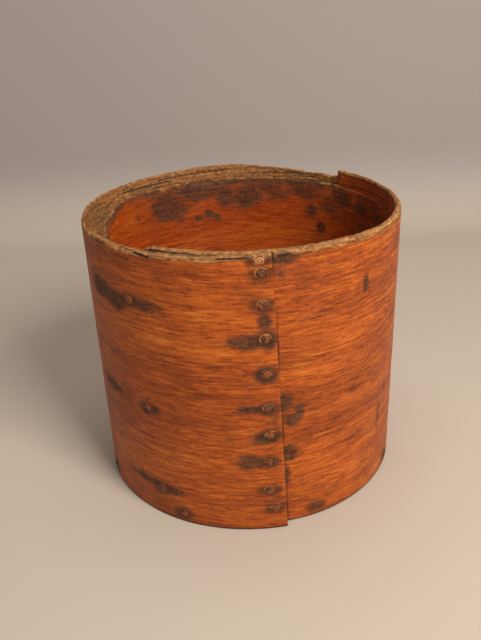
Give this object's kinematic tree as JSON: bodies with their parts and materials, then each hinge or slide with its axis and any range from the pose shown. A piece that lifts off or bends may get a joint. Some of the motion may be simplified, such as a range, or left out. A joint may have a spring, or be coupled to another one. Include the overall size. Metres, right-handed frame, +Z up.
{
  "type": "bentwood measure",
  "caption": "Round open-topped grain measure: a thin wooden sheet steam-bent round a flat bottom board, its overlapping ends joined by a row of clinched iron nails.",
  "frame": {"origin": "middle of the bounding box, on the flat surface that the measure stands on", "axes": "+Z up along the measure's own axis; the lap with its row of nails faces -Y; +X to the right of someone who looks at the lap"},
  "size_m": [0.1954, 0.1989, 0.176],
  "materials": {
    "side_wood": "old orange-brown stained or oiled wood with fine level grain, worn bare along the rim, dark iron stains round the nails",
    "board_wood": "darkened softwood board, dry and worn",
    "nail_iron": "dark wrought iron, dull, with rust"
  },
  "bodies": {
    "root": {"side_hoop": "side_wood", "bottom_board": "board_wood", "lap_nail_1": "nail_iron", "lap_nail_2": "nail_iron", "lap_nail_3": "nail_iron", "lap_nail_4": "nail_iron", "lap_nail_5": "nail_iron", "lap_nail_6": "nail_iron", "lap_nail_7": "nail_iron", "lap_nail_8": "nail_iron", "lap_nail_9": "nail_iron", "lap_nail_10": "nail_iron", "end_nail_1": "nail_iron", "end_nail_2": "nail_iron", "end_nail_3": "nail_iron", "board_nail_1": "nail_iron", "board_nail_2": "nail_iron", "board_nail_3": "nail_iron", "board_nail_4": "nail_iron", "board_nail_5": "nail_iron", "board_nail_6": "nail_iron", "board_nail_7": "nail_iron", "board_nail_8": "nail_iron"}
  },
  "joints": []
}
